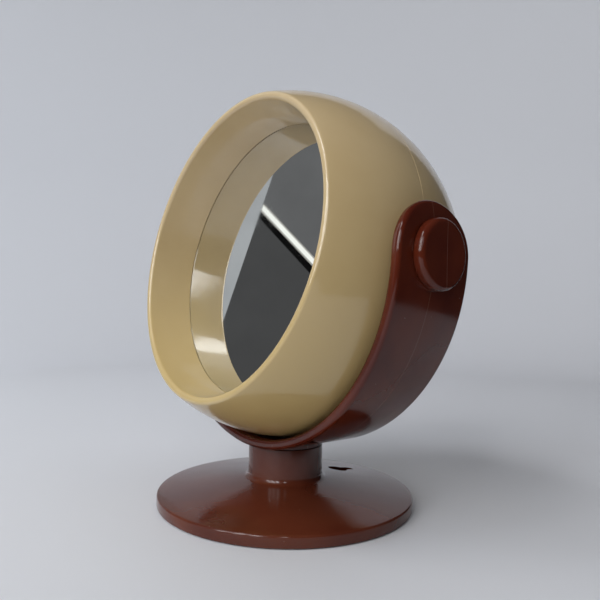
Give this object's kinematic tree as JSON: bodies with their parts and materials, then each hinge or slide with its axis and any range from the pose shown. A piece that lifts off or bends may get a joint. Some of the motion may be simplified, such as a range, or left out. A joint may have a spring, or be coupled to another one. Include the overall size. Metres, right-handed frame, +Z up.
{
  "type": "extendable shaving mirror",
  "caption": "Round shaving mirror in a ball-shaped head that tilts in a curved yoke, on a swivelling telescopic neck and a weighted round base with a keyhole.",
  "frame": {"origin": "centre of the base's underside, where the rubber pad meets the table", "axes": "+Z up along the neck, the mirror faces -Y, the tilt axis lies along X"},
  "size_m": [0.2088, 0.1623, 0.2211],
  "materials": {
    "oxblood_plastic": "glossy moulded ABS, red-brown, light handling wear",
    "cream_plastic": "glossy moulded ABS, aged cream, yellower underneath",
    "inner_plastic": "unpolished ABS",
    "mirror_glass": "flat silvered glass, polished edge",
    "chromed_tube": "chrome-plated tube with fine draw marks",
    "nylon": "natural nylon",
    "zinc_plated_steel": "bright zinc plating",
    "spring_steel": "oiled spring steel",
    "ballast_iron": "black-painted casting",
    "plug_steel": "turned steel",
    "foot_rubber": "dark brown grained rubber sheet",
    "foam": "closed-cell foam",
    "hardboard": "pressed hardboard"
  },
  "bodies": {
    "base": {"base_shell": "oxblood_plastic", "base_plate": "zinc_plated_steel", "base_pad": "foot_rubber", "ballast_ring": "ballast_iron", "base_screws": "zinc_plated_steel", "neck_bush": "nylon"},
    "outer_stage": {"outer_tube": "chromed_tube", "outer_glide": "nylon", "middle_bush": "nylon"},
    "middle_stage": {"middle_tube": "chromed_tube", "middle_glide": "nylon", "inner_bush": "nylon"},
    "stem": {"inner_tube": "chromed_tube", "inner_glide": "nylon", "stem_plug": "plug_steel", "swivel_screw": "zinc_plated_steel", "swivel_washer": "nylon", "swivel_spring": "spring_steel", "swivel_nut": "zinc_plated_steel"},
    "yoke": {"yoke": "oxblood_plastic", "left_ear_bush": "nylon", "right_ear_bush": "nylon"},
    "head": {"front_shell": "cream_plastic", "rear_shell": "cream_plastic", "joining_ring": "inner_plastic", "mirror_glass": "mirror_glass", "foam_pad": "foam", "backing_plate": "hardboard", "backing_screws": "zinc_plated_steel", "left_pivot_cap": "oxblood_plastic", "right_pivot_cap": "oxblood_plastic", "friction_washers": "spring_steel", "retaining_washers": "zinc_plated_steel", "pivot_screws": "zinc_plated_steel"}
  },
  "joints": [
    {"name": "lower_neck_slide", "type": "slide", "parent": "base", "child": "outer_stage", "axis": [0, 0, 1], "range_m": [0, 0.018]},
    {"name": "middle_neck_slide", "type": "slide", "parent": "outer_stage", "child": "middle_stage", "axis": [0, 0, 1], "range_m": [0, 0.018]},
    {"name": "upper_neck_slide", "type": "slide", "parent": "middle_stage", "child": "stem", "axis": [0, 0, 1], "range_m": [0, 0.018]},
    {"name": "yoke_swivel", "type": "hinge", "parent": "stem", "child": "yoke", "pos_m": [0, 0, 0.0319], "axis": [0, 0, 1], "continuous": true},
    {"name": "head_tilt", "type": "hinge", "parent": "yoke", "child": "head", "pos_m": [0, 0, 0.1288], "axis": [1, 0, 0], "continuous": true}
  ]
}
